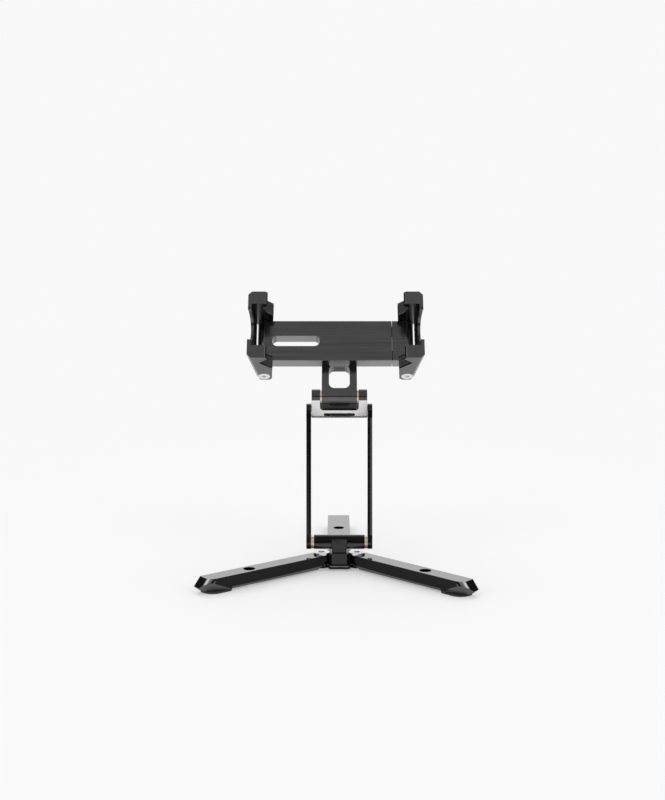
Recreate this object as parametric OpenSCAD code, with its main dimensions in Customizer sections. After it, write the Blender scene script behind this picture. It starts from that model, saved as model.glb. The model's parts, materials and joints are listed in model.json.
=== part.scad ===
// Folding table stand with a sprung device clamp on a three-leg base.
// Frame: +Z up, -Y towards the user, origin on the table under the lower hinge.

/* [Base] */
// Width of a front leg
leg_w = 14; // [13:0.5:15]
// Height of the leg bars
leg_h = 11.5; // [10.5:0.5:14]
// Length of a front leg, pivot to the end of its top face
leg_len = 115; // [100:1:140]
// Distance from the pivot to the hole in a front leg
leg_hole_at = 73; // [50:1:78]
// Diameter of the holes in the legs
leg_hole_d = 9.6; // [6:0.1:10]
// Angle of the left leg ahead of sideways
left_leg_angle = 37.5; // [20:0.5:55]
// Angle of the right leg ahead of sideways
right_leg_angle = 42.5; // [20:0.5:55]
// Distance of the leg pivots from the middle
pivot_x = 14.9; // [14.5:0.1:18]
// Width of the rear leg
rear_leg_w = 20; // [18:0.5:21]
// Length of the rear leg, hub axis to the end of its top face
rear_leg_len = 132; // [115:1:160]
// Distance from the hub axis to the hole in the rear leg
rear_hole_at = 85.5; // [50:0.5:92]
// Thickness of the rubber foot pads
pad_t = 1.5; // [1:0.1:3]
// Thickness of the base plate
plate_t = 3; // [2.5:0.1:4]
// Diameter of the heads of the leg pivot screws
pivot_head_d = 14; // [11:0.5:14]
// Diameter of the pivot shoulder that a leg turns on
pivot_shoulder_d = 8; // [6.5:0.5:9]
// Space between the pivot screw heads and the lower hinge barrel
barrel_gap = 2.5; // [1.5:0.1:10]
// Width of the post
post_w = 12; // [10:0.5:13]

/* [Arm] */
// Length of the arm, hinge axis to hinge axis
arm_len = 110; // [80:1:160]
// Thickness of an arm bar
bar_t = 4; // [3:0.1:6]
// Diameter of the hinge barrels and depth of the arm bars
hinge_d = 12; // [11:0.5:14]
// Space between the two arm bars
arm_gap = 47.2; // [46:0.2:60]
// Lean of the arm, backwards from upright
arm_lean = 9.5; // [0:0.5:20]
// Thickness of the friction washers of the lower hinge
lower_washer_t = 2.4; // [1:0.1:3]
// Thickness of the friction washers of the upper hinge
upper_washer_t = 0.6; // [0.4:0.1:2]
// Diameter of the two arm hinge pins
hinge_pin_d = 7; // [6:0.2:7.6]

/* [Knuckle] */
// Distance from the upper hinge axis to the tilt axis
knuckle_span = 16; // [15.5:0.5:24]
// Distance from the tilt axis to the bottom of the fork
fork_depth = 10.1; // [9:0.1:10.6]
// Lean of the knuckle block, forwards from upright
knuckle_lean = 33; // [15:1:45]
// Width of each knuckle ear
ear_w = 7.1; // [5:0.1:8]
// Thickness of the friction washers of the tilt hinge
tilt_washer_t = 1.3; // [1:0.1:2.2]
// Diameter of the tilt pin
tilt_pin_d = 6; // [5.6:0.2:6.4]
// Tilt of the clamp, backwards from upright
head_tilt = 34; // [15:1:45]

/* [Bracket] */
// Distance from the tilt axis to the middle of the clamp
clamp_rise = 43.1; // [40:0.1:60]
// Width of the window in the bracket
window_w = 17.3; // [10:0.1:18]
// Distance from the tilt axis to the lower edge of the window
window_low = 5.1; // [4.8:0.1:7]
// Corner radius of the window
window_r = 4.6; // [1:0.1:4.8]
// Distance between the two bracket screws
bracket_screw_gap = 16; // [12:0.5:18]

/* [Clamp] */
// Height of the clamp body
body_h = 37; // [36:0.5:50]
// Thickness of the clamp body
body_t = 12; // [11.5:0.5:14]
// Distance from the middle to the left jaw hinge
left_reach = 62.2; // [58:0.1:90]
// Distance from the middle to the seam of the slider
seam_reach = 43.9; // [40:0.1:70]
// Length of the slider head, seam to jaw hinge
slider_len = 12.1; // [11.5:0.1:20]
// Length of the slot in the clamp body
slot_len = 40; // [20:1:40]
// Width of the slot in the clamp body
slot_w = 9.6; // [6:0.1:10]
// Distance from the left jaw hinge to the left end of the slot
slot_inset = 5.9; // [5.5:0.1:7]
// How far the slider pulls out
travel = 60; // [30:1:60]
// Diameter of the two guide rods
rod_d = 5; // [4:0.1:5.2]
// Distance between the two guide rods
rod_gap = 22; // [21:0.5:23]

/* [Jaws] */
// Height of each jaw finger
finger_h = 11.5; // [9:0.5:14]
// Distance from a jaw's hinge to its front face
jaw_front = 34.4; // [30:0.1:45]
// Thickness of the front lip at its tip
lip_t = 3.4; // [3:0.1:5]
// Reach of the front lip past the hinge axis, inwards
lip_reach = 3.2; // [1:0.1:5]
// Depth of the grip groove behind the tip of the lip
groove_in = 6.3; // [4:0.1:7]
// Reach of the rear mouth past the hinge axis, inwards
mouth_reach = 7.4; // [6.5:0.1:9]
// Distance from the hinge axis to the outer face at the front
outer_front = 12.6; // [12:0.1:15]
// Bevel along the outer edge of each finger
finger_bevel = 3; // [1:0.1:4]
// Thickness of the wall between the fingers
wall_t = 2.9; // [2:0.1:3]
// Distance from a jaw's hinge to the waist of the wall
waist_at = 21; // [19:0.1:24]
// Thickness of the rubber in the grip groove
grip_t = 1; // [0.8:0.1:1.2]
// Number of raised strips on each grip
grip_strips = 3; // [1:1:4]

/* [Hidden] */
$fn = 64;
eps = 0.01;

// Clearances
run_clear = 0.05;
seat_clear = 0.02;
face_gap = 0.5;
seam_gap = 0.4;
bore_gap = 0.4;
plate_rise = 0.5;
over = 1;
washer_inset = 0.4;
thread_spare = 1;

// Screws
pivot_head_h = 1.6;
pivot_thread_d = 6;
pivot_socket = 5;
m4_d = 4;
m4_head_d = 8;
m4_head_h = 2;
m4_socket = 2.5;
m5_d = 5;
m5_shoulder_d = 6;
m5_head_d = 10;
m5_head_h = 2.6;
m5_socket = 3;
socket_deep = 1.2;
m4_cap_d = 7;
m4_cap_h = 4;
m4_cap_socket = 3;
m4_cap_deep = 2;
hub_screw_gap = 8;
hub_bite = 6;
pin_bite = 8;
bracket_bite = 6;

// Heights of the base
leg_z = pad_t;
leg_top = leg_z + leg_h;
plate_z = leg_z + plate_rise;
plate_top = plate_z + plate_t;
pivot_washer_t = 0.5;
pivot_washer_d = pivot_shoulder_d + 2.6;
lap_z = plate_top + pivot_washer_t;

// Hinge axes, as y and z
lower_z = leg_top + pivot_head_h + barrel_gap + hinge_d / 2;
upper_y = arm_len * sin(arm_lean);
upper_z = lower_z + arm_len * cos(arm_lean);
tilt_y = upper_y - knuckle_span * sin(knuckle_lean);
tilt_z = upper_z + knuckle_span * cos(knuckle_lean);

// Half widths along the hinges
bar_in = arm_gap / 2;
bar_out = bar_in + bar_t;
barrel_half = bar_in - lower_washer_t;
knuckle_half = bar_in - upper_washer_t;
ear_in = knuckle_half - ear_w;
bracket_half = ear_in - tilt_washer_t;
hinge_r = hinge_d / 2;

// Leg ends and feet
chamfer_in = 1.8;
chamfer_up = 3.4;
tip_z = leg_z + 4;
tip_out = 6;
heel_in = 5.2;
nose_r = 6.4;
foot_len = 23;
foot_past = 0.4;
foot_corner = 2;
facet_turn = 70;
facet_lean = 38;
facet_in = 8;
facet_z = leg_z + 6;
pad_inset = 0.4;
pad_round = 10;
cut_size = 2 * leg_len;
plug_d = 4;
plug_h = 3;
lobe_r = leg_w / 2;
lap_r = lobe_r + face_gap;
lap_flare = 2;
block_over = 0.3;
block_step = 0.4;
block_d = 13.6;
block_w = post_w + 2 * block_step;
block_h = leg_top + pivot_head_h + block_over - plate_top;
block_flare = pivot_x - pivot_head_d / 2 - block_w / 2 + block_over / 3;
plate_half = rear_leg_w / 2 - 0.8;
plate_front = block_d / 2 + 2.7;
plate_corner = 2;
neck_half = lobe_r - 2;
plate_bevel = 1;
rear_start = lobe_r + 4;
post_chamfer = 0.8;
post_y = hinge_r - 1;

// Clamp
body_back = hinge_r;
body_mid = body_back + body_t / 2;
end_r = body_t / 2;
right_reach = seam_reach + slider_len;
bracket_over = 8;
window_hidden = 1.3;
window_high = clamp_rise - body_h / 2 + window_hidden;
body_right = seam_reach - seam_gap / 2;
slider_left = seam_reach + seam_gap / 2;
edge_bevel = 0.4;
slot_chamfer = 0.8;
spring_d = 7.8;
spring_in_d = 5.8;
bore_d = spring_d + 2 * bore_gap;
bush_len = 10;
collar_len = 5;
collar_d = 8;
rod_wall = 0.5;
rod_seat = right_reach - slider_left - m5_d / 2 - rod_wall;
spring_solid = 12;
rod_tail = travel + bush_len + collar_len + spring_solid;
bore_spare = 1.5;
bore_len = rod_tail + bore_spare;
jaw_washer_t = face_gap;
jaw_thread_len = 12;

// Jaw outline, measured from the hinge: inwards is +x, forwards is -y
jaw_back = 6;
outer_back = 6.2;
inner_back = 6.3;
back_corner = 2.2;
lip_bevel = 1.8;
outer_turn = -atan2(outer_front - outer_back, jaw_front + jaw_back);
wall_start = 6;
wall_in = end_r + face_gap;
waist_half = 13.8;
waist_r = (pow(jaw_front - waist_at, 2) + pow(waist_half, 2)) / (2 * (jaw_front - waist_at));
apex_x = lip_reach - groove_in;
apex_f = jaw_front - lip_t - groove_in;
mouth_f = apex_f - (mouth_reach - apex_x);
finger_low = body_h / 2 + jaw_washer_t;
grip_rim = 1.3;
grip_gap = 0.2;
strip_gap = 0.8;
strip_rise = 0.4;
pin_hole_d = 1.8;
pin_hole_deep = 5;
pin_hole_in = 4;

black_metal = "#2a2b2d";
bright_steel = "#c9cbce";
brass_tone = "#b6975a";
rubber_tone = "#161617";

// Placing frames

module arm_frame() {
    translate([0, 0, lower_z])
        rotate([-arm_lean, 0, 0])
            children();
}

module knuckle_frame() {
    translate([0, upper_y, upper_z])
        rotate([knuckle_lean, 0, 0])
            children();
}

module head_frame() {
    translate([0, tilt_y, tilt_z])
        rotate([-head_tilt, 0, 0])
            children();
}

module left_leg_frame() {
    translate([-pivot_x, 0, 0])
        rotate([0, 0, 180 + left_leg_angle])
            children();
}

module right_leg_frame() {
    translate([pivot_x, 0, 0])
        rotate([0, 0, -right_leg_angle])
            mirror([0, 1, 0])
                children();
}

module left_jaw_frame() {
    head_frame()
        translate([-left_reach, -body_mid, clamp_rise])
            children();
}

module right_jaw_frame() {
    head_frame()
        translate([right_reach, -body_mid, clamp_rise])
            mirror([1, 0, 0])
                children();
}

// Shared shapes

module along_x(half, d) {
    translate([-half, 0, 0])
        rotate([0, 90, 0])
            cylinder(h = 2 * half, d = d);
}

module ring(d, bore, h) {
    difference() {
        cylinder(h = h, d = d);
        translate([0, 0, -over])
            cylinder(h = h + 2 * over, d = bore);
    }
}

// Slot with round ends, along x, upright, from z = 0
module obround(len, w, h) {
    translate([w / 2, 0, 0])
        cylinder(h = h, d = w);
    translate([len - w / 2, 0, 0])
        cylinder(h = h, d = w);
    translate([w / 2, -w / 2, 0])
        cube([len - w, w, h]);
}

// Chamfer round the mouth of an obround, its wide end at z = 0
module obround_chamfer(len, w, c) {
    for (x = [w / 2, len - w / 2])
        translate([x, 0, -eps])
            cylinder(h = c, r1 = w / 2 + c, r2 = w / 2);
    translate([w / 2, 0, -eps])
        rotate([90, 0, 90])
            linear_extrude(len - w)
                polygon([[-w / 2 - c, 0], [w / 2 + c, 0], [w / 2, c], [-w / 2, c]]);
}

// Countersunk screw, head face at z = 0, running down
module flat_screw(d, head_d, head_h, len, socket) {
    difference() {
        union() {
            translate([0, 0, -head_h])
                cylinder(h = head_h, d1 = d, d2 = head_d);
            translate([0, 0, -len])
                cylinder(h = len - head_h + eps, d = d);
        }
        translate([0, 0, -socket_deep])
            cylinder(h = socket_deep + over, d = socket / cos(30), $fn = 6);
    }
}

// The hole that a countersunk screw sits in
module flat_screw_hole(d, head_d, head_h, len, gap) {
    translate([0, 0, -head_h])
        cylinder(h = head_h + eps, d1 = d + 2 * gap, d2 = head_d + 2 * gap);
    translate([0, 0, -len])
        cylinder(h = len, d = d + 2 * gap);
}

module m4_screw(len) {
    flat_screw(m4_d, m4_head_d, m4_head_h, len, m4_socket);
}

module m4_hole(len) {
    flat_screw_hole(m4_d, m4_head_d, m4_head_h, len, seat_clear);
}

// One copy at each end of a hinge, its z axis pointing outwards
module both_ends(half) {
    for (s = [-1, 1])
        translate([s * half, 0, 0])
            rotate([0, s * 90, 0])
                children();
}

// Legs

// Half space beyond a sloping end: turned in plan, through reach at the given height
module end_cut(turn, reach, z, slope) {
    rotate([0, 0, turn])
        translate([reach, 0, z])
            rotate([0, slope, 0])
                translate([0, -cut_size, -cut_size])
                    cube([cut_size, 2 * cut_size, 2 * cut_size]);
}

function bevel_slope() = -atan2(tip_out, leg_top - tip_z);
function heel_slope() = atan2(heel_in, tip_z - leg_z);

function foot_start(len) = len + foot_past - foot_len;

// Sole from x0 to x1, its corners cut at x0
module foot_outline(w, x0, x1) {
    h = w / 2;
    polygon([
        [x0, -h + foot_corner], [x0 + foot_corner, -h], [x1, -h],
        [x1, h], [x0 + foot_corner, h], [x0, h - foot_corner]
    ]);
}

// Bar along +x with a bevelled end: len is where the top face ends
module leg_bar(w, start, len) {
    far = len + tip_out + over;
    difference() {
        union() {
            translate([start, 0, 0])
                rotate([90, 0, 90])
                    linear_extrude(far - start)
                        polygon([
                            [-w / 2, leg_top], [-w / 2, leg_z + chamfer_up], [-w / 2 + chamfer_in, leg_z],
                            [w / 2 - chamfer_in, leg_z], [w / 2, leg_z + chamfer_up], [w / 2, leg_top]
                        ]);
            translate([0, 0, leg_z])
                linear_extrude(chamfer_up)
                    foot_outline(w, foot_start(len), far);
        }
        end_cut(0, len, leg_top, bevel_slope());
        end_cut(0, len + tip_out, tip_z, heel_slope());
    }
}

// Rounds the front corner of a front leg's bevelled end
module nose_cut() {
    reach = 2 * leg_h;
    translate([leg_len, leg_w / 2, leg_top])
        rotate([0, bevel_slope(), 0])
            translate([-nose_r, -nose_r, -reach])
                difference() {
                    cube([2 * nose_r, 2 * nose_r, 2 * reach]);
                    translate([0, 0, -over])
                        cylinder(h = 2 * reach + 2 * over, r = nose_r);
                }
}

// Slanting facet that narrows the front of a foot towards its end
module foot_facet() {
    end_cut(
        facet_turn, (leg_len - facet_in) * cos(facet_turn) + leg_w / 2 * sin(facet_turn), facet_z, facet_lean
    );
}

function foot_mid(len) = len + foot_past - foot_len / 2;

module plug_hole(len) {
    translate([foot_mid(len), 0, leg_z - over])
        cylinder(h = plug_h + over + seat_clear, d = plug_d + 2 * seat_clear);
}

module foot_pad(w, len) {
    linear_extrude(pad_t)
        foot_outline(w - 2 * pad_inset, foot_start(len) + pad_inset, len + foot_past - pad_inset);
    translate([foot_mid(len), 0, 0])
        cylinder(h = pad_t + plug_h, d = plug_d);
}

module front_foot_pad() {
    pad_end = leg_len + foot_past - pad_inset;
    color(rubber_tone)
        difference() {
            foot_pad(leg_w, leg_len);
            translate([pad_end - pad_round, leg_w / 2 - pad_inset - pad_round, -over])
                linear_extrude(leg_z + 2 * over)
                    difference() {
                        square(pad_round + over);
                        circle(r = pad_round);
                    }
        }
}

module front_leg() {
    color(black_metal)
        difference() {
            union() {
                leg_bar(leg_w, 0, leg_len);
                translate([0, 0, lap_z])
                    cylinder(h = leg_top - lap_z, d = leg_w);
            }
            nose_cut();
            foot_facet();
            cylinder(h = lap_z, r1 = lap_r + lap_flare, r2 = lap_r);
            cylinder(h = leg_top + over, d = pivot_shoulder_d + 2 * run_clear);
            translate([leg_hole_at, 0, 0])
                cylinder(h = leg_top + over, d = leg_hole_d);
            plug_hole(leg_len);
        }
}

module left_leg() {
    left_leg_frame()
        front_leg();
}

module right_leg() {
    right_leg_frame()
        front_leg();
}

module left_foot_pad() {
    left_leg_frame()
        front_foot_pad();
}

module right_foot_pad() {
    right_leg_frame()
        front_foot_pad();
}

// Rear leg, with the plate that carries the hub and the leg pivots
module rear_leg() {
    color(black_metal)
        difference() {
            union() {
                rotate([0, 0, 90])
                    leg_bar(rear_leg_w, rear_start, rear_leg_len);
                translate([0, 0, plate_z])
                    linear_extrude(plate_t) {
                        plate_outline();
                        square([2 * pivot_x, 2 * neck_half], center = true);
                        for (s = [-1, 1])
                            translate([s * pivot_x, 0])
                                circle(r = lobe_r);
                    }
            }
            for (s = [-1, 1])
                translate([s * pivot_x, 0, 0])
                    cylinder(h = plate_top + over, d = pivot_thread_d + 2 * seat_clear);
            for (s = [-1, 1])
                translate([0, s * hub_screw_gap / 2, plate_z])
                    rotate([180, 0, 0])
                        m4_hole(plate_t + over);
            translate([0, rear_hole_at, 0])
                cylinder(h = leg_top + over, d = leg_hole_d);
            rotate([0, 0, 90])
                plug_hole(rear_leg_len);
            translate([0, -plate_front, plate_top])
                rotate([45, 0, 0])
                    cube([rear_leg_w, plate_bevel * sqrt(2), plate_bevel * sqrt(2)], center = true);
        }
}

// Middle of the plate, under the hub, its front corners cut
module plate_outline() {
    polygon([
        [-plate_half, rear_start + over], [-plate_half, -plate_front + plate_corner],
        [-plate_half + plate_corner, -plate_front], [plate_half - plate_corner, -plate_front],
        [plate_half, -plate_front + plate_corner], [plate_half, rear_start + over]
    ]);
}

module rear_foot_pad() {
    color(rubber_tone)
        rotate([0, 0, 90])
            foot_pad(rear_leg_w, rear_leg_len);
}

module pivot_screw(side) {
    color(bright_steel)
        translate([side * pivot_x, 0, 0])
            difference() {
                union() {
                    translate([0, 0, leg_top])
                        cylinder(h = pivot_head_h, d = pivot_head_d);
                    translate([0, 0, plate_top])
                        cylinder(h = leg_top - plate_top + eps, d = pivot_shoulder_d);
                    translate([0, 0, plate_z])
                        cylinder(h = plate_t + eps, d = pivot_thread_d);
                }
                translate([0, 0, leg_top + pivot_head_h - socket_deep])
                    cylinder(h = socket_deep + over, d = pivot_socket / cos(30), $fn = 6);
            }
}

module left_pivot_screw() {
    pivot_screw(-1);
}

module right_pivot_screw() {
    pivot_screw(1);
}

module pivot_washers() {
    color(brass_tone)
        for (s = [-1, 1])
            translate([s * pivot_x, 0, plate_top])
                ring(pivot_washer_d, pivot_shoulder_d + 2 * run_clear, pivot_washer_t);
}

// Hub: block, post and the barrel of the lower hinge, milled flat across the post
module hub_post() {
    color(black_metal)
        difference() {
            union() {
                translate([0, block_d / 2, plate_top])
                    rotate([90, 0, 0])
                        linear_extrude(block_d)
                            polygon([
                                [-block_w / 2, 0], [block_w / 2, 0], [block_w / 2, block_h - block_flare],
                                [block_w / 2 + block_flare, block_h], [-block_w / 2 - block_flare, block_h],
                                [-block_w / 2, block_h - block_flare]
                            ]);
                translate([0, 0, plate_top])
                    linear_extrude(lower_z - plate_top)
                        post_section();
                translate([0, 0, lower_z])
                    along_x(barrel_half, hinge_d);
            }
            for (s = [0, 1])
                mirror([0, s, 0])
                    translate([0, 0, lower_z - hinge_r])
                        linear_extrude(hinge_d)
                            polygon([
                                [-post_w / 2, -post_y], [post_w / 2, -post_y],
                                [post_w / 2 + hinge_r, -post_y - hinge_r],
                                [-post_w / 2 - hinge_r, -post_y - hinge_r]
                            ]);
            translate([0, 0, lower_z])
                along_x(barrel_half + over, hinge_pin_d + 2 * run_clear);
            for (s = [-1, 1])
                translate([0, s * hub_screw_gap / 2, plate_z])
                    cylinder(h = plate_t + hub_bite + thread_spare, d = m4_d + 2 * seat_clear);
        }
}

module post_section() {
    x = post_w / 2;
    y = post_y;
    c = post_chamfer;
    polygon([
        [-x + c, -y], [x - c, -y], [x, -y + c], [x, y - c],
        [x - c, y], [-x + c, y], [-x, y - c], [-x, -y + c]
    ]);
}

module hub_screws() {
    color(bright_steel)
        for (s = [-1, 1])
            translate([0, s * hub_screw_gap / 2, plate_z])
                rotate([180, 0, 0])
                    m4_screw(plate_t + hub_bite);
}

// Arm

// Pin through a barrel, tapped at both ends for the bar screws
module bar_pin() {
    color(bright_steel)
        difference() {
            along_x(bar_in, hinge_pin_d);
            both_ends(bar_out)
                translate([0, 0, -bar_t - pin_bite - thread_spare])
                    cylinder(h = bar_t + pin_bite + thread_spare, d = m4_d + 2 * seat_clear);
        }
}

module bar_screws() {
    color(bright_steel)
        both_ends(bar_out)
            m4_screw(bar_t + pin_bite);
}

module pin_washers(half, t, bore) {
    color(brass_tone)
        both_ends(half)
            ring(hinge_d - 2 * washer_inset, bore + 2 * run_clear, t);
}

module lower_hinge_pin() {
    arm_frame()
        bar_pin();
}

module lower_hinge_washers() {
    arm_frame()
        pin_washers(barrel_half, lower_washer_t, hinge_pin_d);
}

module lower_hinge_screws() {
    arm_frame()
        bar_screws();
}

module upper_hinge_pin() {
    arm_frame()
        translate([0, 0, arm_len])
            bar_pin();
}

module upper_hinge_washers() {
    arm_frame()
        translate([0, 0, arm_len])
            pin_washers(knuckle_half, upper_washer_t, hinge_pin_d);
}

module upper_hinge_screws() {
    arm_frame()
        translate([0, 0, arm_len])
            bar_screws();
}

// Flat bar with round ends; its two outer edges are bevelled between the hinges
module arm_bar() {
    bevel = 2;
    run = arm_len - hinge_d;
    color(black_metal)
        difference() {
            translate([bar_in, 0, 0])
                rotate([0, 90, 0])
                    union() {
                        cylinder(h = bar_t, d = hinge_d);
                        translate([-arm_len, 0, 0])
                            cylinder(h = bar_t, d = hinge_d);
                        translate([-arm_len, -hinge_r, 0])
                            cube([arm_len, hinge_d, bar_t]);
                    }
            for (s = [-1, 1])
                translate([bar_out, s * hinge_r, hinge_r])
                    rotate([0, 0, 45])
                        translate([-bevel * cos(45), -bevel * cos(45), 0])
                            cube([2 * bevel * cos(45), 2 * bevel * cos(45), run]);
            for (z = [0, arm_len])
                translate([bar_out, 0, z])
                    rotate([0, 90, 0])
                        m4_hole(bar_t + over);
        }
}

module right_arm_bar() {
    arm_frame()
        arm_bar();
}

module left_arm_bar() {
    arm_frame()
        mirror([1, 0, 0])
            arm_bar();
}

// Knuckle block: a slab with a hinge at each end, forked at the tilt end
module knuckle_block() {
    trough = knuckle_span - fork_depth;
    corner = fork_depth - hinge_r - 2 * face_gap;
    slit_len = 26;
    slit_w = 3;
    slit_up = 1;
    slit_deep = 2.1;
    knuckle_frame()
        color(black_metal)
            difference() {
                union() {
                    along_x(knuckle_half, hinge_d);
                    translate([0, 0, knuckle_span])
                        along_x(knuckle_half, hinge_d);
                    translate([-knuckle_half, -hinge_r, 0])
                        cube([2 * knuckle_half, hinge_d, knuckle_span]);
                }
                translate([0, hinge_r + over, 0])
                    rotate([90, 0, 0])
                        linear_extrude(hinge_d + 2 * over) {
                            translate([-ear_in, trough + corner])
                                square([2 * ear_in, knuckle_span]);
                            translate([-ear_in + corner, trough])
                                square([2 * (ear_in - corner), knuckle_span]);
                            for (s = [-1, 1])
                                translate([s * (ear_in - corner), trough + corner])
                                    circle(r = corner);
                        }
                along_x(knuckle_half + over, hinge_pin_d + 2 * run_clear);
                translate([0, 0, knuckle_span])
                    along_x(knuckle_half + over, tilt_pin_d + 2 * seat_clear);
                translate([0, 0, knuckle_span])
                    both_ends(knuckle_half)
                        m4_hole(m4_head_h);
                translate([-slit_len / 2, -hinge_r - over, slit_up])
                    rotate([-90, 0, 0])
                        obround(slit_len, slit_w, slit_deep + over);
            }
}

module tilt_pin() {
    knuckle_frame()
        translate([0, 0, knuckle_span])
            color(bright_steel)
                difference() {
                    along_x(knuckle_half - m4_head_h, tilt_pin_d);
                    both_ends(knuckle_half)
                        translate([0, 0, -m4_head_h - pin_bite - thread_spare])
                            cylinder(h = m4_head_h + pin_bite + thread_spare, d = m4_d + 2 * seat_clear);
                }
}

module tilt_screws() {
    knuckle_frame()
        translate([0, 0, knuckle_span])
            color(bright_steel)
                both_ends(knuckle_half)
                    m4_screw(m4_head_h + pin_bite);
}

module tilt_washers() {
    knuckle_frame()
        translate([0, 0, knuckle_span])
            pin_washers(bracket_half, tilt_washer_t, tilt_pin_d);
}

// Tilt bracket: a slab from the tilt barrel up behind the clamp, with a window
module tilt_bracket() {
    head_frame()
        color(black_metal)
            difference() {
                union() {
                    along_x(bracket_half, hinge_d);
                    translate([-bracket_half, -hinge_r, 0])
                        cube([2 * bracket_half, hinge_d, clamp_rise + bracket_over]);
                }
                along_x(bracket_half + over, tilt_pin_d + 2 * run_clear);
                translate([0, hinge_r + over, window_low])
                    rotate([90, 0, 0])
                        linear_extrude(hinge_d + 2 * over)
                            rounded_window();
                at_bracket_screws()
                    bracket_screw_hole();
            }
}

module rounded_window() {
    h = window_high - window_low;
    w = window_w / 2;
    translate([-w + window_r, 0])
        square([window_w - 2 * window_r, h]);
    translate([-w, window_r])
        square([window_w, h - 2 * window_r]);
    for (x = [-w + window_r, w - window_r])
        for (y = [window_r, h - window_r])
            translate([x, y])
                circle(r = window_r);
}

module at_bracket_screws() {
    for (s = [-1, 1])
        translate([s * bracket_screw_gap / 2, hinge_r, clamp_rise])
            rotate([-90, 0, 0])
                children();
}

// Counterbored hole, its mouth at z = 0
module bracket_screw_hole() {
    translate([0, 0, -m4_cap_h])
        cylinder(h = m4_cap_h + over, d = m4_cap_d + 2 * seat_clear);
    translate([0, 0, -hinge_d - over])
        cylinder(h = hinge_d + over, d = m4_d + 2 * seat_clear);
}

module bracket_screws() {
    head_frame()
        color(bright_steel)
            at_bracket_screws()
                difference() {
                    union() {
                        translate([0, 0, -m4_cap_h])
                            cylinder(h = m4_cap_h, d = m4_cap_d);
                        translate([0, 0, -hinge_d - bracket_bite])
                            cylinder(h = hinge_d + bracket_bite - m4_cap_h + eps, d = m4_d);
                    }
                    translate([0, 0, -m4_cap_deep])
                        cylinder(h = m4_cap_deep + over, d = m4_cap_socket / cos(30), $fn = 6);
                }
}

// Clamp

module at_rods() {
    for (s = [-1, 1])
        translate([0, -body_mid, clamp_rise + s * rod_gap / 2])
            rotate([0, 90, 0])
                children();
}

// Tapped hole for a jaw screw at the top and the bottom of a hinge end
module jaw_thread_holes() {
    for (s = [0, 1])
        mirror([0, 0, s])
            translate([0, 0, body_h / 2 - jaw_thread_len])
                cylinder(h = jaw_thread_len + over, d = m5_d + 2 * seat_clear);
}

// Bar from a jaw hinge at x = 0 to x = len, its long edges bevelled
module clamp_bar(len) {
    h = body_h / 2;
    t = body_t / 2;
    c = edge_bevel;
    translate([0, -body_mid, clamp_rise])
        intersection() {
            translate([0, 0, -h])
                union() {
                    cylinder(h = body_h, r = end_r);
                    translate([0, -t, 0])
                        cube([len, body_t, body_h]);
                }
            translate([-end_r - over, 0, 0])
                rotate([90, 0, 90])
                    linear_extrude(end_r + 2 * over + len)
                        polygon([
                            [-t, -h + c], [-t + c, -h], [t - c, -h], [t, -h + c],
                            [t, h - c], [t - c, h], [-t + c, h], [-t, h - c]
                        ]);
        }
}

// Clamp body: round left end for the jaw, long slot, two spring bores from the seam
module clamp_body() {
    head_frame()
        color(black_metal)
            difference() {
                translate([-left_reach, 0, 0])
                    clamp_bar(left_reach + body_right);
                translate([-left_reach + slot_inset, -body_back + over, clamp_rise])
                    rotate([90, 0, 0])
                        obround(slot_len, slot_w, body_t + 2 * over);
                translate([-left_reach + slot_inset, -body_back - body_t, clamp_rise])
                    rotate([-90, 0, 0])
                        obround_chamfer(slot_len, slot_w, slot_chamfer);
                at_rods()
                    translate([0, 0, body_right - bore_len])
                        cylinder(h = bore_len + over, d = bore_d);
                translate([-left_reach, -body_mid, clamp_rise])
                    jaw_thread_holes();
                at_bracket_screws()
                    translate([0, 0, -hinge_d - bracket_bite - thread_spare])
                        cylinder(h = bracket_bite + thread_spare + over, d = m4_d + 2 * seat_clear);
            }
}

// Bushes that the rods run in, pressed into the mouths of the bores
module guide_bushes() {
    head_frame()
        color(brass_tone)
            at_rods()
                translate([0, 0, body_right - bush_len])
                    ring(bore_d - 2 * seat_clear, rod_d + 2 * run_clear, bush_len + seam_gap);
}

module slider_head() {
    head_frame()
        color(black_metal)
            difference() {
                translate([right_reach, 0, 0])
                    mirror([1, 0, 0])
                        clamp_bar(right_reach - slider_left);
                at_rods()
                    translate([0, 0, slider_left - over])
                        cylinder(h = rod_seat + over, d = rod_d + 2 * seat_clear);
                translate([right_reach, -body_mid, clamp_rise])
                    jaw_thread_holes();
            }
}

module guide_rods() {
    head_frame()
        color(bright_steel)
            at_rods()
                translate([0, 0, slider_left - rod_tail])
                    cylinder(h = rod_tail + rod_seat - seat_clear, d = rod_d);
}

module rod_collars() {
    head_frame()
        color(bright_steel)
            at_rods()
                translate([0, 0, slider_left - rod_tail])
                    ring(collar_d, rod_d + 2 * seat_clear, collar_len);
}

// Return springs, each filling the room between its collar and its bush
module return_springs() {
    from = slider_left - rod_tail + collar_len;
    to = body_right - bush_len;
    head_frame()
        color(bright_steel)
            at_rods()
                translate([0, 0, from])
                    ring(spring_d, spring_in_d, to - from);
}

// Jaws

module finger_outline() {
    polygon([
        [-outer_front, -jaw_front], [lip_reach - lip_bevel, -jaw_front],
        [lip_reach, -jaw_front + lip_bevel], [lip_reach, -jaw_front + lip_t],
        [apex_x, -apex_f], [mouth_reach, -mouth_f],
        [inner_back, jaw_back - back_corner], [inner_back - back_corner, jaw_back],
        [-outer_back + back_corner, jaw_back], [-outer_back, jaw_back - back_corner]
    ]);
}

// Layer of the grip, from the face of the groove down to the given depth
module grip_outline(top, deep) {
    t = top * sqrt(2);
    d = deep * sqrt(2);
    polygon([
        [lip_reach, -jaw_front + lip_t - t], [apex_x - t, -apex_f], [mouth_reach, -mouth_f + t],
        [mouth_reach, -mouth_f + d], [apex_x - d, -apex_f], [lip_reach, -jaw_front + lip_t - d]
    ]);
}

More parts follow.
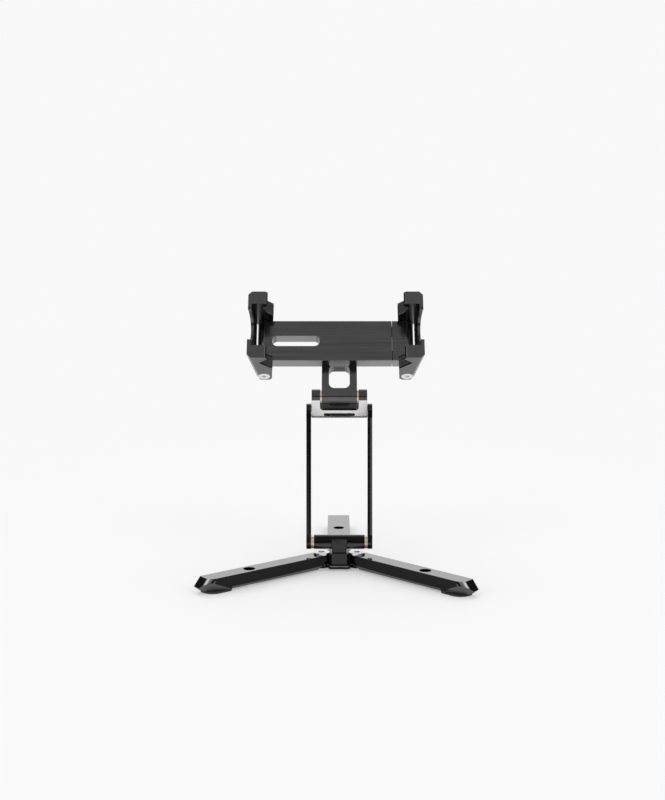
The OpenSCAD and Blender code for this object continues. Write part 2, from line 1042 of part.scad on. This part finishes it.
// Room for the grip, open towards the device
module grip_pocket() {
    d = grip_t * sqrt(2);
    run = 2 * mouth_reach;
    polygon([[apex_x - d, -apex_f], [apex_x - d + run, -apex_f - run], [apex_x - d + run, -apex_f + run]]);
}

// Wall along the outer side of the fingers, drawn in to a waist at the front
module jaw_wall() {
    difference() {
        translate([0, 0, -finger_low - over])
            linear_extrude(2 * finger_low + 2 * over)
                polygon([
                    [-outer_at(wall_start), -wall_start], [-outer_front, -jaw_front],
                    [-outer_front + wall_t, -jaw_front], [-wall_in, -wall_start]
                ]);
        translate([-outer_front - over, -waist_at - waist_r, 0])
            rotate([0, 90, 0])
                cylinder(h = outer_front, r = waist_r);
        translate([-outer_front + wall_t / 2, -jaw_front - over, finger_low - pin_hole_in])
            rotate([-90, 0, 0])
                cylinder(h = pin_hole_deep + over, d = pin_hole_d);
    }
}

// Distance from the hinge to the outer side, at a distance forward of the hinge
function outer_at(f) = outer_back + (outer_front - outer_back) * (f + jaw_back) / (jaw_front + jaw_back);

module jaw_screw_hole() {
    flat_screw_hole(m5_shoulder_d, m5_head_d, m5_head_h, finger_h + over, 2 * run_clear);
}

// Two fingers astride the clamp body, joined by the wall
module jaw() {
    bevel_side = finger_bevel * sqrt(2);
    bevel_len = jaw_front + jaw_back + 2 * finger_bevel;
    color(black_metal)
        difference() {
            union() {
                for (s = [0, 1])
                    mirror([0, 0, s])
                        translate([0, 0, finger_low])
                            linear_extrude(finger_h)
                                finger_outline();
                jaw_wall();
            }
            for (s = [0, 1])
                mirror([0, 0, s]) {
                    translate([0, 0, finger_low + finger_h])
                        jaw_screw_hole();
                    translate([0, 0, finger_low + grip_rim])
                        linear_extrude(finger_h - 2 * grip_rim)
                            grip_pocket();
                    translate([-outer_back, jaw_back, finger_low + finger_h])
                        rotate([0, 0, outer_turn])
                            rotate([0, 45, 0])
                                translate([-bevel_side / 2, finger_bevel - bevel_len, -bevel_side / 2])
                                    cube([bevel_side, bevel_len, bevel_side]);
                }
        }
}

// Rubber in the grooves, with raised strips along the grip
module jaw_pads() {
    low = finger_low + grip_rim + grip_gap;
    high = finger_low + finger_h - grip_rim - grip_gap;
    strip_h = (high - low - (grip_strips - 1) * strip_gap) / grip_strips;
    color(rubber_tone)
        for (s = [0, 1])
            mirror([0, 0, s]) {
                translate([0, 0, low])
                    linear_extrude(high - low)
                        grip_outline(strip_rise, grip_t);
                for (i = [0 : grip_strips - 1])
                    translate([0, 0, low + i * (strip_h + strip_gap)])
                        linear_extrude(strip_h)
                            grip_outline(0, grip_t);
            }
}

module jaw_screws() {
    color(bright_steel)
        for (s = [0, 1])
            mirror([0, 0, s])
                translate([0, 0, finger_low + finger_h]) {
                    flat_screw(m5_shoulder_d, m5_head_d, m5_head_h, finger_h + jaw_washer_t, m5_socket);
                    translate([0, 0, -finger_h - jaw_washer_t - jaw_thread_len + thread_spare])
                        cylinder(h = jaw_thread_len, d = m5_d);
                }
}

module jaw_washers() {
    color(brass_tone)
        for (s = [0, 1])
            mirror([0, 0, s])
                translate([0, 0, body_h / 2])
                    ring(2 * end_r - 2 * washer_inset, m5_shoulder_d + 2 * run_clear, jaw_washer_t);
}

module left_jaw() {
    left_jaw_frame()
        jaw();
}

module left_jaw_pads() {
    left_jaw_frame()
        jaw_pads();
}

module left_jaw_screws() {
    left_jaw_frame()
        jaw_screws();
}

module left_jaw_washers() {
    left_jaw_frame()
        jaw_washers();
}

module right_jaw() {
    right_jaw_frame()
        jaw();
}

module right_jaw_pads() {
    right_jaw_frame()
        jaw_pads();
}

module right_jaw_screws() {
    right_jaw_frame()
        jaw_screws();
}

module right_jaw_washers() {
    right_jaw_frame()
        jaw_washers();
}

rear_leg();
rear_foot_pad();
hub_post();
hub_screws();
pivot_washers();
left_pivot_screw();
right_pivot_screw();
left_leg();
left_foot_pad();
right_leg();
right_foot_pad();
lower_hinge_pin();
lower_hinge_washers();
lower_hinge_screws();
left_arm_bar();
right_arm_bar();
upper_hinge_pin();
upper_hinge_washers();
upper_hinge_screws();
knuckle_block();
tilt_pin();
tilt_washers();
tilt_screws();
tilt_bracket();
bracket_screws();
clamp_body();
guide_bushes();
slider_head();
guide_rods();
rod_collars();
return_springs();
left_jaw();
left_jaw_pads();
left_jaw_screws();
left_jaw_washers();
right_jaw();
right_jaw_pads();
right_jaw_screws();
right_jaw_washers();
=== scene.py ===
import bpy, json, math
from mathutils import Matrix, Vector


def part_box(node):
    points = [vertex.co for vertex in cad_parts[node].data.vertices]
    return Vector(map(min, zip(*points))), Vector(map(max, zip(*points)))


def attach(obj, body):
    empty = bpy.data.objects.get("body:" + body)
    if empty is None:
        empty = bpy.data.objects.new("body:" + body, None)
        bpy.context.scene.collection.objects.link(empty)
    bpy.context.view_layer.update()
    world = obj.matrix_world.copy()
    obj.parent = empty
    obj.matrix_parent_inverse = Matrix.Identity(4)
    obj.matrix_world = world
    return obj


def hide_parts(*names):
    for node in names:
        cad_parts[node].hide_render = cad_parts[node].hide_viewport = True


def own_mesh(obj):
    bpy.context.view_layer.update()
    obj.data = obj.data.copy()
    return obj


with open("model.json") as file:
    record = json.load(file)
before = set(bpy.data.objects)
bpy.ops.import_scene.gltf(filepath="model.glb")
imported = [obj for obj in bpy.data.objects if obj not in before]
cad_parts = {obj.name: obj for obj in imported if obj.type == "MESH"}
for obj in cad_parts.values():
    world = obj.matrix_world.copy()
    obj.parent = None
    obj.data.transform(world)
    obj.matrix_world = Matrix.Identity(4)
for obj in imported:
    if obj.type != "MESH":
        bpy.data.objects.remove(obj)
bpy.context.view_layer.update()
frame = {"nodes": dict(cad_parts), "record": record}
nodes = frame["nodes"]
record = frame["record"]
bodyOf = {node: body for body, members in record["behaviour"]["bodies"].items() for node in members}
print("frame loaded:", len(nodes), "nodes")

# shader maths


class Value:  # a node socket that takes part in Python expressions
    def __init__(self, tree, socket):
        self.tree = tree
        self.socket = socket

    def node(self, kind, settings=None, out=0, **links):
        made = self.tree.nodes.new(kind)
        for key, setting in (settings or {}).items():
            setattr(made, key, setting)
        for key, given in links.items():
            name = int(key[1:]) if key[0] == "i" and key[1:].isdigit() else key.replace("_", " ")
            socket = made.inputs[name]
            if isinstance(given, Value):
                self.tree.links.new(given.socket, socket)
            else:
                socket.default_value = given
        return Value(self.tree, made.outputs[out])

    def maths(self, operation, first, second):
        return self.node("ShaderNodeMath", {"operation": operation}, i0=first, i1=second)

    def __add__(self, other): return self.maths("ADD", self, other)
    def __radd__(self, other): return self.maths("ADD", other, self)
    def __sub__(self, other): return self.maths("SUBTRACT", self, other)
    def __rsub__(self, other): return self.maths("SUBTRACT", other, self)
    def __mul__(self, other): return self.maths("MULTIPLY", self, other)
    def __rmul__(self, other): return self.maths("MULTIPLY", other, self)

    def dot(self, direction):  # a vector's share along a direction
        settings = {"operation": "DOT_PRODUCT"}
        return self.node("ShaderNodeVectorMath", settings, "Value", i0=self, i1=direction)

    def ramp(self, low, high):  # 0 below low, 1 above high, smooth between
        return self.node("ShaderNodeMapRange", {"interpolation_type": "SMOOTHSTEP"},
                         Value=self, From_Min=low, From_Max=high)

    def mixTo(self, low, high):  # self blends between two colours
        return self.node("ShaderNodeMix", {"data_type": "RGBA"}, 2, Factor=self, i6=low, i7=high)


def newMaterial(name):
    material = bpy.data.materials.new(name)
    material.use_nodes = True
    tree = material.node_tree
    shader = tree.nodes["Principled BSDF"]
    coords = tree.nodes.new("ShaderNodeTexCoord")
    return material, shader, Value(tree, coords.outputs["Object"])


def link(value, socket):
    value.tree.links.new(value.socket, socket)


def grey(level):
    return (level, level, level, 1)


def aroundGrey(level, shift):  # a darker and a lighter grey
    return grey(level * (1 - shift)), grey(level * (1 + shift))


# finishes

# directions that faces look in
up = (0, 0, 1)
down = (0, 0, -1)
clampUnder = (0, -0.5592, -0.829)
knuckleFront = (0, -0.8387, -0.5446)

noise = {"mean": 0.5, "clouds": 3.0, "grains": 2.0}  # middle of a noise, and its detail

# faces and matt are a direction, where the mask starts and is full, and a tone; these tones are painted
# light on the faces that look that way
anodised = {"tone": 0.13, "shift": 0.08, "rough": 0.2, "spread": 0.05, "cloud": 38.0, "grain": 2600,
            "bump": 0.02, "relief": 0.0001}
# leg tops get a painted sheen, a lighter tone; leg undersides get a lighter matt grey, painted floor
# light
legFinish = dict(anodised, tone=0.02, rough=0.07, spread=0.02, faces=[(up, 0.2, 0.45, 0.32)],
                 matt=(down, 0.2, 0.4, 0.09), mattRough=0.6)
# the clamp underside gets a lighter tone, a painted reflection of the floor
clampFinish = dict(anodised, shift=0.2, faces=[(clampUnder, 0.9, 0.97, 0.26)],
                   brush=1100, stretch=(0.015, 1, 1), contrast=(0.25, 0.75))
barFinish = dict(anodised, tone=0.045)
# hub faces that look down get a lighter tone, a painted reflection of the floor
hubFinish = dict(anodised, tone=0.018, rough=0.12, faces=[(down, -0.1, 0.1, 0.07)])
# the knuckle's lower front face gets a near-white tone, a painted reflection of the floor
knuckleFinish = dict(anodised, tone=0.09, faces=[(knuckleFront, 0.985, 0.995, 0.94)])
steel = dict(anodised, tone=0.78, shift=0.05, rough=0.24, spread=0.08, grain=1800)
brass = {"pale": (0.86, 0.74, 0.56, 1), "deep": (0.72, 0.58, 0.4, 1), "metal": 1.0, "rough": 0.34,
         "spread": 0.12, "cloud": 120.0, "grain": 1500, "bump": 0.03, "relief": 0.0002}
bronze = dict(brass, pale=(0.1, 0.08, 0.06, 1), deep=(0.06, 0.05, 0.04, 1), rough=0.5)
rubber = dict(brass, pale=(0.034, 0.034, 0.035, 1), deep=(0.02, 0.02, 0.021, 1), metal=0.0, rough=0.72,
              grain=900, bump=0.3)


def cloudAndGrain(place, look):
    cloud = place.node("ShaderNodeTexNoise", Vector=place, Scale=look["cloud"], Detail=noise["clouds"])
    grain = place.node("ShaderNodeTexNoise", Vector=place, Scale=look["grain"], Detail=noise["grains"])
    return cloud, grain


def addRelief(shader, grain, look):
    bump = grain.node("ShaderNodeBump", Strength=look["bump"], Distance=look["relief"], Height=grain)
    link(bump, shader.inputs["Normal"])


def brightMetal(name, look):
    material, shader, place = newMaterial(name)
    normal = place.node("ShaderNodeTexCoord", out="Normal")
    cloud, grain = cloudAndGrain(place, look)
    streaks = cloud
    if "brush" in look:  # fine lines along the part
        drawn = place.node("ShaderNodeMapping", Vector=place, Scale=look["stretch"])
        streaks = place.node("ShaderNodeTexNoise", Vector=drawn, Scale=look["brush"],
                             Detail=noise["clouds"])
        streaks = streaks.ramp(*look["contrast"])
    colour = streaks.mixTo(*aroundGrey(look["tone"], look["shift"]))
    for direction, low, high, tone in look.get("faces", []):  # painted light: faces looking this way get a lighter tone, with grain, than the other sides
        paintedLightTone = grain.mixTo(*aroundGrey(tone, look["shift"]))
        colour = normal.dot(direction).ramp(low, high).mixTo(colour, paintedLightTone)
    rough = look["rough"] + (cloud - noise["mean"]) * look["spread"]
    rough = rough + (grain - noise["mean"]) * look["spread"]
    shader.inputs["Metallic"].default_value = 1.0
    if "matt" in look:  # undersides become matt and a lighter grey, painted floor light
        direction, low, high, tone = look["matt"]
        mask = normal.dot(direction).ramp(low, high)
        colour = mask.mixTo(colour, grey(tone))
        rough = rough + mask * (look["mattRough"] - rough)
        link(1 - mask, shader.inputs["Metallic"])
    link(colour, shader.inputs["Base Color"])
    link(rough, shader.inputs["Roughness"])
    addRelief(shader, grain, look)
    return material


def grainedStuff(name, look):
    material, shader, place = newMaterial(name)
    cloud, grain = cloudAndGrain(place, look)
    link(cloud.mixTo(look["deep"], look["pale"]), shader.inputs["Base Color"])
    link(look["rough"] + (grain - noise["mean"]) * look["spread"], shader.inputs["Roughness"])
    shader.inputs["Metallic"].default_value = look["metal"]
    addRelief(shader, grain, look)
    return material


finishes = {
    "black": brightMetal("blackAnodised", anodised),
    "clamp": brightMetal("blackClamp", clampFinish),
    "leg": brightMetal("blackLegs", legFinish),
    "bar": brightMetal("blackBars", barFinish),
    "hub": brightMetal("blackHub", hubFinish),
    "knuckle": brightMetal("blackKnuckle", knuckleFinish),
    "steel": brightMetal("brightSteel", steel),
    "brass": grainedStuff("turnedBrass", brass),
    "bronze": grainedStuff("darkBronze", bronze),
    "rubber": grainedStuff("blackRubber", rubber),
}


def finishOf(name):
    if "pad" in name:
        return "rubber"
    if "bushes" in name or "jaw_washers" in name:
        return "bronze"
    if "washers" in name:
        return "brass"
    if any(word in name for word in ("screw", "pin", "rods", "collars", "springs")):
        return "steel"
    if name.endswith("_leg"):
        return "leg"
    if name.endswith("_bar"):
        return "bar"
    return {"hub_post": "hub", "knuckle_block": "knuckle", "clamp_body": "clamp",
            "slider_head": "clamp"}.get(name, "black")


for name, thing in nodes.items():
    thing.data.materials.clear()
    thing.data.materials.append(finishes[finishOf(name)])
print("finishes on", len(nodes), "nodes")

# pieces with broken edges

# width of a broken edge in metres, and the sharpest corner left as it is in degrees
edges = {"metal": (0.0002, 50), "jaw": (0.0001, 50), "screw": (0.00015, 50), "rubber": (0.00015, 32)}
rounding = {"rings": 2, "smooth": 40}
cleaning = {"merge": 1e-6, "flat": 0.4}  # metres between doubles, degrees between faces that are one


def pickOnly(thing):
    bpy.ops.object.select_all(action="DESELECT")
    thing.select_set(True)
    bpy.context.view_layer.objects.active = thing


def copyOf(name, suffix):  # the node's shape as one closed mesh with flat faces
    mesh = nodes[name].data.copy()
    piece = bpy.data.objects.new(name + suffix, mesh)
    bpy.context.scene.collection.objects.link(piece)
    pickOnly(piece)
    bpy.ops.object.mode_set(mode="EDIT")
    bpy.ops.mesh.select_all(action="SELECT")
    bpy.ops.mesh.remove_doubles(threshold=cleaning["merge"])
    bpy.ops.mesh.dissolve_limited(angle_limit=math.radians(cleaning["flat"]))
    bpy.ops.object.mode_set(mode="OBJECT")
    return piece


def breakEdges(piece, edge):
    width, angle = edge
    pickOnly(piece)
    bevel = piece.modifiers.new("edge", "BEVEL")
    bevel.width = width
    bevel.segments = rounding["rings"]
    bevel.limit_method = "ANGLE"
    bevel.angle_limit = math.radians(angle)
    bevel.use_clamp_overlap = False
    bpy.ops.object.modifier_apply(modifier="edge")
    bpy.ops.object.shade_smooth_by_angle(angle=math.radians(rounding["smooth"]))
    flat = piece.modifiers.new("flat", "WEIGHTED_NORMAL")  # broad faces stay flat beside their edges
    flat.keep_sharp = True
    bpy.ops.object.modifier_apply(modifier="flat")


def standFor(piece, name):
    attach(piece, bodyOf[name])
    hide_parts(name)


def edgeOf(name):  # the kind of edge that a node gets here, if any
    if "pivot_screw" in name or "jaw_screws" in name:
        return "screw"
    if "jaw_pads" in name:
        return "rubber"
    if finishOf(name) in ("black", "clamp", "leg", "bar", "hub", "knuckle"):
        return "jaw" if name.endswith("_jaw") else "metal"
    return None


for name in nodes:
    edge = edgeOf(name)
    if edge:
        piece = copyOf(name, "_moulded" if edge == "rubber" else "_softened")
        breakEdges(piece, edges[edge])
        standFor(piece, name)
print("edges broken")

# foot pads with tread grooves

tread = {"grooves": 4, "pitch": 0.004, "wide": 0.0012, "deep": 0.0006, "margin": 0.0035,
         "turns": {"left_foot_pad": 217.5, "right_foot_pad": -42.5, "rear_foot_pad": 90}}
for name, turn in tread["turns"].items():
    piece = copyOf(name, "_treaded")
    breakEdges(piece, edges["rubber"])
    low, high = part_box(name)
    middle = (Vector(low) + Vector(high)) / 2
    along = Vector((math.cos(math.radians(turn)), math.sin(math.radians(turn)), 0))
    across = Vector((-along.y, along.x, 0))
    spread = [across.dot(corner.co - middle) for corner in piece.data.vertices]
    reach = max(spread) - min(spread) - 2 * tread["margin"]
    middle += across * (max(spread) + min(spread)) / 2
    for step in range(tread["grooves"]):
        at = middle + along * (step - (tread["grooves"] - 1) / 2) * tread["pitch"]
        bpy.ops.object.select_all(action="DESELECT")
        bpy.ops.mesh.primitive_cube_add(size=1, location=(at.x, at.y, 0),
                                        rotation=(0, 0, math.radians(turn)))
        cutter = bpy.context.object
        cutter.scale = (tread["wide"], reach, 2 * tread["deep"])
        pickOnly(piece)
        groove = piece.modifiers.new("groove", "BOOLEAN")
        groove.operation = "DIFFERENCE"
        groove.object = cutter
        bpy.ops.object.modifier_apply(modifier="groove")
        bpy.data.objects.remove(cutter)
    standFor(piece, name)
print("feet treaded")

# return springs as wound coils

coil = {"lean": 34, "wire": 0.001, "turns": 12, "around": 10, "steps": 24, "travel": 0.06}
low, high = (Vector(corner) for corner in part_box("return_springs"))
length, deep, tall = high - low
lean = math.radians(coil["lean"])
clampUp = Vector((0, math.sin(lean), math.cos(lean)))
apart = (tall - deep) / (clampUp.z - clampUp.y)  # between the two springs, up the clamp
radius = (tall - apart * clampUp.z - coil["wire"]) / 2
coils = []
for side in (-0.5, 0.5):
    bpy.ops.object.select_all(action="DESELECT")
    bpy.ops.mesh.primitive_circle_add(vertices=coil["around"], radius=coil["wire"] / 2,
                                      location=(coil["wire"] / 2, radius, 0))
    spring = bpy.context.object
    bpy.ops.object.transform_apply(location=True)
    winding = spring.modifiers.new("winding", "SCREW")
    winding.axis = "X"
    winding.iterations = coil["turns"]
    winding.screw_offset = (length - coil["wire"]) / coil["turns"]
    winding.steps = coil["steps"]
    winding.render_steps = coil["steps"]
    bpy.ops.object.modifier_apply(modifier="winding")
    bpy.ops.object.mode_set(mode="EDIT")
    bpy.ops.mesh.select_all(action="SELECT")
    bpy.ops.mesh.remove_doubles(threshold=cleaning["merge"])
    bpy.ops.mesh.fill_holes(sides=0)
    bpy.ops.mesh.select_all(action="SELECT")
    bpy.ops.mesh.normals_make_consistent(inside=False)
    bpy.ops.object.mode_set(mode="OBJECT")
    middle = (low + high) / 2 + clampUp * apart * side
    spring.location = (low.x, middle.y, middle.z)
    bpy.ops.object.transform_apply(location=True)
    coils.append(spring)
pickOnly(coils[0])
coils[1].select_set(True)
bpy.ops.object.join()
springs = coils[0]
springs.name = "return_springs_coiled"
springs.data.materials.append(finishes[finishOf("return_springs")])
bpy.ops.object.shade_smooth_by_angle(angle=math.radians(rounding["smooth"]))
standFor(springs, "return_springs")
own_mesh(springs)
print("springs wound")

# stage, light and camera

stage = {"size": 12.0, "tone": 0.82, "rough": 0.9, "shine": 0.1, "white": 0.94, "near": 0.35,
         "fade": (0.2, 0.7)}


def backdropRays(tree):  # masks of the rays that see the backdrop as it is, and of the glossy ones
    path = tree.nodes.new("ShaderNodeLightPath")
    seen = Value(tree, path.outputs["Is Camera Ray"])
    glossy = Value(tree, path.outputs["Is Glossy Ray"])
    clear = Value(tree, path.outputs["Is Transmission Ray"])
    return seen.maths("MAXIMUM", seen.maths("MAXIMUM", seen, glossy), clear), glossy


bpy.ops.object.select_all(action="DESELECT")
bpy.ops.mesh.primitive_plane_add(size=stage["size"], location=(0, 0, 0))
floor = bpy.context.object
floor.name = "floor"
floorMaterial, floorShader, place = newMaterial("paleFloor")
tree = floorMaterial.node_tree
floorShader.inputs["Base Color"].default_value = grey(stage["tone"])
floorShader.inputs["Roughness"].default_value = stage["rough"]
floorShader.inputs["Specular IOR Level"].default_value = stage["shine"]
glow = tree.nodes.new("ShaderNodeEmission")
glow.inputs["Color"].default_value = grey(stage["white"])
blend = tree.nodes.new("ShaderNodeMixShader")
away = place.node("ShaderNodeVectorMath", {"operation": "LENGTH"}, "Value", i0=place)
plain = backdropRays(tree)[0]
share = stage["near"] + (1 - stage["near"]) * away.ramp(*stage["fade"])  # less glow where shadows fall
link(plain * share, blend.inputs["Fac"])
tree.links.new(floorShader.outputs["BSDF"], blend.inputs[1])
tree.links.new(glow.outputs["Emission"], blend.inputs[2])
tree.links.new(blend.outputs["Shader"], tree.nodes["Material Output"].inputs["Surface"])
floor.data.materials.append(floorMaterial)

studio = {"fill": 0.88, "white": 0.94, "dark": 0.02, "above": 0.44, "window": 0.5, "front": (0.1, 0.5),
          "high": (0.66, 0.78), "sill": (0.2, 0.32), "side": (0.6, 0.75), "zenith": (0.75, 0.9)}
world = bpy.data.worlds.new("studio")
bpy.context.scene.world = world
world.use_nodes = True
tree = world.node_tree
sky = tree.nodes["Background"]
coords = tree.nodes.new("ShaderNodeTexCoord")
towards = Value(tree, coords.outputs["Generated"])
plain, glossy = backdropRays(tree)
frontness = towards.dot((0, -1, 0)).ramp(*studio["front"])  # the dark room behind the camera
height = towards.dot(up)
room = height.ramp(*studio["sill"]).mixTo(grey(studio["dark"]), grey(studio["window"]))
room = height.ramp(*studio["high"]).mixTo(room, grey(studio["above"]))
across = towards.dot((1, 0, 0))
sideness = across.maths("ABSOLUTE", across, 0).ramp(*studio["side"])  # dark screens left and right
backdrop = sideness.mixTo(grey(studio["white"]), grey(studio["dark"]))
backdrop = height.ramp(*studio["zenith"]).mixTo(backdrop, grey(studio["above"]))
reflected = frontness.mixTo(backdrop, room)
shown = glossy.mixTo(grey(studio["white"]), reflected)
link(plain.mixTo(grey(studio["fill"]), shown), sky.inputs["Color"])
sky.inputs["Strength"].default_value = 1.0

lamps = [
    {"name": "topBox", "at": (0.0, 0.7, 1.3), "size": 1.6, "watts": 6.0},
    {"name": "leftBox", "at": (-0.72, -0.86, 1.0), "size": 0.8, "watts": 2.4},
    {"name": "rightBox", "at": (0.72, -0.86, 1.0), "size": 0.8, "watts": 2.4},
]
lampAim = Vector((0, 0, 0.1))
for lamp in lamps:
    data = bpy.data.lights.new(lamp["name"], "AREA")
    data.size = lamp["size"]
    data.energy = lamp["watts"]
    box = bpy.data.objects.new(lamp["name"], data)
    bpy.context.scene.collection.objects.link(box)
    box.location = lamp["at"]
    box.rotation_euler = (lampAim - Vector(lamp["at"])).to_track_quat("-Z", "Y").to_euler()

# reach is the focal length in pixels of a picture that is tall pixels high
lens = {"at": (-0.0057, -1.0383, 0.3069), "down": 9.3, "reach": 1276, "tall": 800, "sensor": 36,
        "shift": 0.01}
cameraData = bpy.data.cameras.new("front")
camera = bpy.data.objects.new("front", cameraData)
bpy.context.scene.collection.objects.link(camera)
camera.location = lens["at"]
camera.rotation_euler = (math.radians(90 - lens["down"]), 0, 0)
cameraData.sensor_width = lens["sensor"]
cameraData.lens = lens["reach"] / lens["tall"] * lens["sensor"]
cameraData.shift_y = lens["shift"]
bpy.context.scene.camera = camera
bpy.context.scene.view_settings.view_transform = "Standard"
print("stage set")
